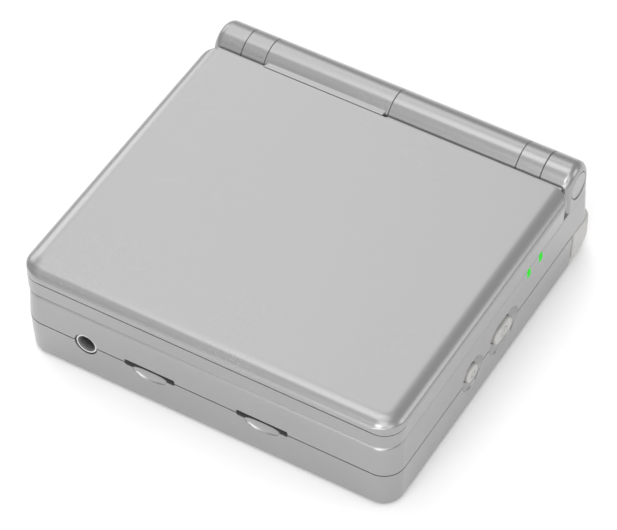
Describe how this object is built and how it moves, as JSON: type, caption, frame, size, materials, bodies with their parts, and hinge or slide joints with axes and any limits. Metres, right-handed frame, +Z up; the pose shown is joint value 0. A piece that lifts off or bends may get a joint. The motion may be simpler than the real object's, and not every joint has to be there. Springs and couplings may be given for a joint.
{
  "type": "clamshell handheld game console",
  "caption": "Folding handheld game console, closed: a screen lid turns on a barrel hinge over a control deck with cross pad, round buttons, rear triggers, card slots and headphone socket.",
  "frame": {"origin": "on the surface the feet stand on, under the middle of the closed console's bounding box", "axes": "+Z up, +Y towards the hinge and triggers, +X to the player's right"},
  "size_m": [0.087, 0.086, 0.0278],
  "materials": {
    "silver_cover": "satin silver paint",
    "silver_body": "satin silver paint",
    "grey_controls": "matt",
    "screen_glass": "gloss",
    "display": "gloss",
    "foam": "matt",
    "flex": "satin",
    "steel": "brushed",
    "socket_metal": "satin",
    "rubber": "matt",
    "board": "satin solder mask",
    "black_parts": "matt",
    "cell": "satin wrap",
    "connector": "matt",
    "antenna": "satin",
    "status_light": "clear green"
  },
  "bodies": {
    "base": {"base_upper_shell": "silver_body", "base_lower_shell": "silver_body", "base_screws": "steel", "battery_cover": "silver_body", "battery_cover_screw": "steel", "battery": "cell", "battery_connector": "connector", "feet": "rubber", "main_board": "board", "processor_shield": "steel", "board_chips": "black_parts", "display_connector": "connector", "wireless_antenna": "antenna", "speaker": "black_parts", "speaker_gauze": "foam", "vibration_motor": "steel", "dpad_membrane": "rubber", "face_membrane": "rubber", "menu_membrane": "rubber", "trigger_pins": "steel", "trigger_springs": "steel", "side_switches": "black_parts", "headphone_socket": "socket_metal", "card_sockets": "socket_metal", "rear_sockets": "socket_metal", "status_lights": "status_light", "hinge_cartridge": "steel", "hinge_bush": "steel", "hinge_cap_left": "silver_cover", "hinge_cap_right": "silver_cover", "hinge_flex_tail": "flex"},
    "lid": {"lid_back_cover": "silver_cover", "lid_bezel": "silver_body", "barrel_cover_left": "silver_cover", "barrel_cover_right": "silver_cover", "screen_lens": "screen_glass", "screen_gasket": "foam", "display_panel": "display", "display_foam": "foam", "display_flex_cable": "flex", "lid_screws": "steel", "lid_bumpers": "rubber", "lid_magnet": "steel", "hinge_cam": "steel"},
    "dpad_rocker": {"dpad_pivot": "steel"},
    "dpad": {"dpad": "grey_controls"},
    "button_east": {"button_east": "grey_controls"},
    "button_south": {"button_south": "grey_controls"},
    "button_north": {"button_north": "grey_controls"},
    "button_west": {"button_west": "grey_controls"},
    "start_button": {"start_button": "grey_controls"},
    "select_button": {"select_button": "grey_controls"},
    "menu_button": {"menu_button": "grey_controls"},
    "trigger_l1": {"trigger_l1": "grey_controls"},
    "trigger_l2": {"trigger_l2": "grey_controls"},
    "trigger_r1": {"trigger_r1": "grey_controls"},
    "trigger_r2": {"trigger_r2": "grey_controls"},
    "power_button": {"power_button": "grey_controls"},
    "reset_button": {"reset_button": "grey_controls"},
    "volume_rocker": {"volume_rocker": "grey_controls"}
  },
  "joints": [
    {"name": "lid_hinge", "type": "hinge", "parent": "base", "child": "lid", "pos_m": [0, 0.03565, 0.02284], "axis": [-1, 0, 0], "range_deg": [0, 155]},
    {"name": "dpad_left_right", "type": "hinge", "parent": "base", "child": "dpad_rocker", "pos_m": [-0.024, 0.00605, 0.01475], "axis": [0, 1, 0], "range_deg": [-2, 2], "stiffness_Nm_per_rad": 0.5},
    {"name": "dpad_up_down", "type": "hinge", "parent": "dpad_rocker", "child": "dpad", "pos_m": [-0.024, 0.00605, 0.01475], "axis": [1, 0, 0], "range_deg": [-2, 2], "stiffness_Nm_per_rad": 0.5},
    {"name": "button_east_press", "type": "slide", "parent": "base", "child": "button_east", "axis": [0, 0, -1], "range_m": [0, 0.0007], "stiffness_N_per_m": 800},
    {"name": "button_south_press", "type": "slide", "parent": "base", "child": "button_south", "axis": [0, 0, -1], "range_m": [0, 0.0007], "stiffness_N_per_m": 800},
    {"name": "button_north_press", "type": "slide", "parent": "base", "child": "button_north", "axis": [0, 0, -1], "range_m": [0, 0.0007], "stiffness_N_per_m": 800},
    {"name": "button_west_press", "type": "slide", "parent": "base", "child": "button_west", "axis": [0, 0, -1], "range_m": [0, 0.0007], "stiffness_N_per_m": 800},
    {"name": "start_press", "type": "slide", "parent": "base", "child": "start_button", "axis": [0, 0, -1], "range_m": [0, 0.0006], "stiffness_N_per_m": 800},
    {"name": "select_press", "type": "slide", "parent": "base", "child": "select_button", "axis": [0, 0, -1], "range_m": [0, 0.0006], "stiffness_N_per_m": 800},
    {"name": "menu_press", "type": "slide", "parent": "base", "child": "menu_button", "axis": [0, 0, -1], "range_m": [0, 0.0006], "stiffness_N_per_m": 800},
    {"name": "trigger_l1_press", "type": "hinge", "parent": "base", "child": "trigger_l1", "pos_m": [-0.0328, 0.0385, 0.006], "axis": [0, 0, 1], "range_deg": [0, 3.5], "stiffness_Nm_per_rad": 0.6},
    {"name": "trigger_l2_press", "type": "hinge", "parent": "base", "child": "trigger_l2", "pos_m": [-0.0192, 0.0385, 0.006], "axis": [0, 0, 1], "range_deg": [0, 3.5], "stiffness_Nm_per_rad": 0.6},
    {"name": "trigger_r1_press", "type": "hinge", "parent": "base", "child": "trigger_r1", "pos_m": [0.0328, 0.0385, 0.006], "axis": [0, 0, -1], "range_deg": [0, 3.5], "stiffness_Nm_per_rad": 0.6},
    {"name": "trigger_r2_press", "type": "hinge", "parent": "base", "child": "trigger_r2", "pos_m": [0.0192, 0.0385, 0.006], "axis": [0, 0, -1], "range_deg": [0, 3.5], "stiffness_Nm_per_rad": 0.6},
    {"name": "power_press", "type": "slide", "parent": "base", "child": "power_button", "axis": [-1, 0, 0], "range_m": [0, 0.0004], "stiffness_N_per_m": 1500},
    {"name": "reset_press", "type": "slide", "parent": "base", "child": "reset_button", "axis": [-1, 0, 0], "range_m": [0, 0.0004], "stiffness_N_per_m": 1500},
    {"name": "volume_rock", "type": "hinge", "parent": "base", "child": "volume_rocker", "pos_m": [-0.042, 0.0076, 0.0102], "axis": [0, 0, 1], "range_deg": [-2, 2], "stiffness_Nm_per_rad": 0.4}
  ]
}
